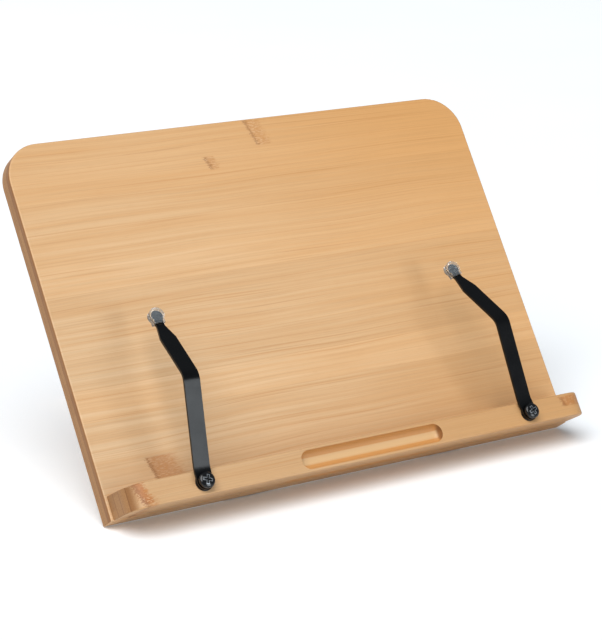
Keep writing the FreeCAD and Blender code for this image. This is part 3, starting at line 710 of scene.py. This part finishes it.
def make_caps(clear):
    """Clear sleeves over the paddles, hollow where the steel goes in."""
    for label, side in SIDES:
        matrix = arm_frame(label, side, ARM_SWING[label])
        tip = extent(label + "_arm", matrix)[1].y
        slope = math.atan2(TIP_RISE - NECK_RISE, tip - NECK_AT)
        seat = matrix @ Matrix.Translation(Vector((0, NECK_AT, NECK_RISE)) * MM)
        seat = seat @ Matrix.Rotation(slope, 4, "X")
        low, high = extent(label + "_arm_cap", seat)
        thickness = high.z - low.z
        start, length = low.y, high.y - low.y
        shape = ribbon([(at, half, low.z) for at, half in drop(start, length, high.x, CAP_MOUTH)],
                       thickness, 8)
        ease(shape, CAP_EDGE, 6, 50)
        paddle = (tip - NECK_AT) / math.cos(slope) + CAP_ROOM
        inside = drop(start - 1.0, paddle - start + 1.0, PADDLE_HALF + CAP_ROOM, NECK_HALF + 0.4)
        hollow = ribbon([(at, max(half, CAP_ROOM), -CAP_ROOM) for at, half in inside],
                        ARM_THICKNESS + 2 * CAP_ROOM)
        shape = carved(shape, hollow)
        add(label + "_clear_cap", shape, seat, label + "_arm", clear,
            [label + "_arm_cap"], 50)


# ---------------------------------------------------------------- screws and washers
# the cross is CROSS_WIDTH of its span wide, and is turned CROSS_TURN degrees
CROSS_SPAN, CROSS_WIDTH, CROSS_DEPTH = 5.6, 0.25, 1.7
CROSS_TURN = 20
CROWN_ANGLE, CROWN_STEPS = 84, 8
SHANK, SHANK_POINT = 2.0, 0.6
WASHER_BORE = 2.06


def cross_cutters(span, depth, top):
    """Two crossed blades that narrow towards the bottom of a screwdriver's cross."""
    blades = []
    for turn in (0, 90):
        blade = bar(span, span * CROSS_WIDTH, 2 * depth, (0, 0, top))
        for vertex in blade.verts:
            if vertex.co.z < top:
                vertex.co.x *= 0.55
                vertex.co.y *= 0.75
        bmesh.ops.rotate(blade, verts=blade.verts, matrix=Matrix.Rotation(math.radians(turn), 3, "Z"))
        blades.append(blade)
    return blades


def dome(radius, height, rim):
    """Profile of a pan head from its middle out to its rim and down to its underside."""
    angles = [math.radians(k * CROWN_ANGLE / CROWN_STEPS) for k in range(CROWN_STEPS + 1)]
    crown = [(radius * math.sin(a), rim + (height - rim) * math.cos(a) ** 0.8) for a in angles]
    return crown + [(radius, rim * 0.7), (radius, 0.12), (radius - 0.12, 0)]


def seat_at(matrix, level, turn=0):
    """The frame at a height over another, turned about its Z by some degrees."""
    lifted = matrix @ Matrix.Translation(Vector((0, 0, level)) * MM)
    return lifted @ Matrix.Rotation(math.radians(turn), 4, "Z")


def make_pivots(coat):
    """Pan-head screw, flat washer and spring washer of each arm."""
    for label, side in SIDES:
        stem = label + "_arm_"
        matrix = arm_frame(label, side)
        low, high = extent(stem + "screw", matrix)
        spring_low, spring_high = extent(stem + "spring_washer", matrix)
        washer_low, washer_high = extent(stem + "washer", matrix)
        head_level = spring_high.z
        head = high.z - head_level
        point = low.z - head_level
        profile = dome(high.x, head, head * 0.42)
        profile += [(SHANK, 0), (SHANK, point + SHANK_POINT), (SHANK - SHANK_POINT, point), (0, point)]
        seat = seat_at(matrix, head_level, side * CROSS_TURN)
        shape = carved(turned(profile, 64), *cross_cutters(CROSS_SPAN, CROSS_DEPTH, head))
        ease(shape, 0.09, 2, 48)
        # the screw's material paints a glint along the rim of its cross
        rim_glint = rim_glint_screw(stem + "rim_glint_screw", seat, CROSS_SPAN, CROSS_SPAN * CROSS_WIDTH, head)
        add(stem + "pan_screw", shape, seat, "board", rim_glint, [stem + "screw"], 40)
        flat = ring(WASHER_BORE, washer_high.x, washer_high.z - washer_low.z)
        add(stem + "flat_washer", flat, seat_at(matrix, washer_low.z), "board", coat,
            [stem + "washer"])
        split = bar(spring_high.x, 1.0, 4.0, (spring_high.x / 2 + 1, 0, 0))
        spring = carved(ring(WASHER_BORE, spring_high.x, spring_high.z - spring_low.z, 0.1), split)
        add(stem + "split_washer", spring, seat_at(matrix, spring_low.z), "board", coat,
            [stem + "spring_washer"])


# ---------------------------------------------------------------- studio
def area_light(name, place, aim, width, height, power, colour=(1, 1, 1)):
    lamp = bpy.data.lights.new(name, "AREA")
    lamp.shape = "RECTANGLE"
    lamp.size = width
    lamp.size_y = height
    lamp.energy = power
    lamp.color = colour
    light = bpy.data.objects.new(name, lamp)
    light.location = place
    light.rotation_euler = (Vector(aim) - Vector(place)).to_track_quat("-Z", "Y").to_euler()
    bpy.context.scene.collection.objects.link(light)


def make_floor():
    """A pale floor, with a faint glow that lifts the shadow on it."""
    mesh = bpy.data.meshes.new("floor")
    shape = bmesh.new()
    bmesh.ops.create_grid(shape, x_segments=1, y_segments=1, size=12.0)
    shape.to_mesh(mesh)
    shape.free()
    floor = bpy.data.objects.new("floor", mesh)
    floor.location.z = -0.1 * MM
    bpy.context.scene.collection.objects.link(floor)
    white = Finish("studio_floor", Roughness=0.85, Specular_IOR_Level=0.1, Emission_Strength=0.03)
    vector, _, _, _ = white.place(Matrix())
    cloth = white.noise(vector, 0.004, 2.0)
    tone = white.mix(cloth, paint(244, 246, 248), paint(248, 250, 252))
    white.coat(Base_Color=tone, Emission_Color=tone)
    mesh.materials.append(white.material)


def light_studio():
    """Soft light from above and the left, under a pale sky that looks white behind the stand."""
    world = bpy.data.worlds.new("studio")
    world.use_nodes = True
    sky = world.node_tree.nodes["Background"]
    sky.inputs["Color"].default_value = (0.80, 0.91, 1.0, 1.0)
    sky.inputs["Strength"].default_value = 0.24
    bright = world.node_tree.nodes.new("ShaderNodeBackground")
    bright.inputs["Color"].default_value = (0.92, 0.93, 0.94, 1.0)
    seen = world.node_tree.nodes.new("ShaderNodeLightPath")
    choose = world.node_tree.nodes.new("ShaderNodeMixShader")
    links = world.node_tree.links
    links.new(seen.outputs["Is Camera Ray"], choose.inputs["Fac"])
    links.new(sky.outputs["Background"], choose.inputs[1])
    links.new(bright.outputs["Background"], choose.inputs[2])
    links.new(choose.outputs["Shader"], world.node_tree.nodes["World Output"].inputs["Surface"])
    bpy.context.scene.world = world
    sun = bpy.data.lights.new("soft_key", "SUN")
    sun.energy = 3.05
    sun.angle = math.radians(50)
    key = bpy.data.objects.new("soft_key", sun)
    key.rotation_euler = Vector((-0.45, -0.38, 0.82)).to_track_quat("Z", "Y").to_euler()
    bpy.context.scene.collection.objects.link(key)
    area_light("front_card", (0.78, -2.3, 0.46), (0, 0, 0.08), 0.95, 0.9, 17.0, (0.90, 0.96, 1.0))
    area_light("back_fill", (-0.8, 2.0, 1.1), (0, 0, 0.1), 1.4, 1.0, 9)


def make_camera():
    """A long lens, seen from the left, a little above the stand."""
    aim = BOARD @ (Vector((-2.65, 100.3, 0)) * MM)
    azimuth, pitch, distance = math.radians(32.66), math.radians(15.72), 1.3867
    way = Vector((-math.sin(azimuth) * math.cos(pitch), -math.cos(azimuth) * math.cos(pitch),
                  math.sin(pitch)))
    lens = bpy.data.cameras.new("camera")
    lens.lens = 123.4
    camera = bpy.data.objects.new("camera", lens)
    camera.location = aim + way * distance
    camera.rotation_euler = (-way).to_track_quat("-Z", "Y").to_euler()
    bpy.context.scene.collection.objects.link(camera)
    bpy.context.scene.camera = camera


dress_wood()
dress_metal()
make_floor()
light_studio()
make_camera()
bpy.context.scene.view_settings.view_transform = "Standard"
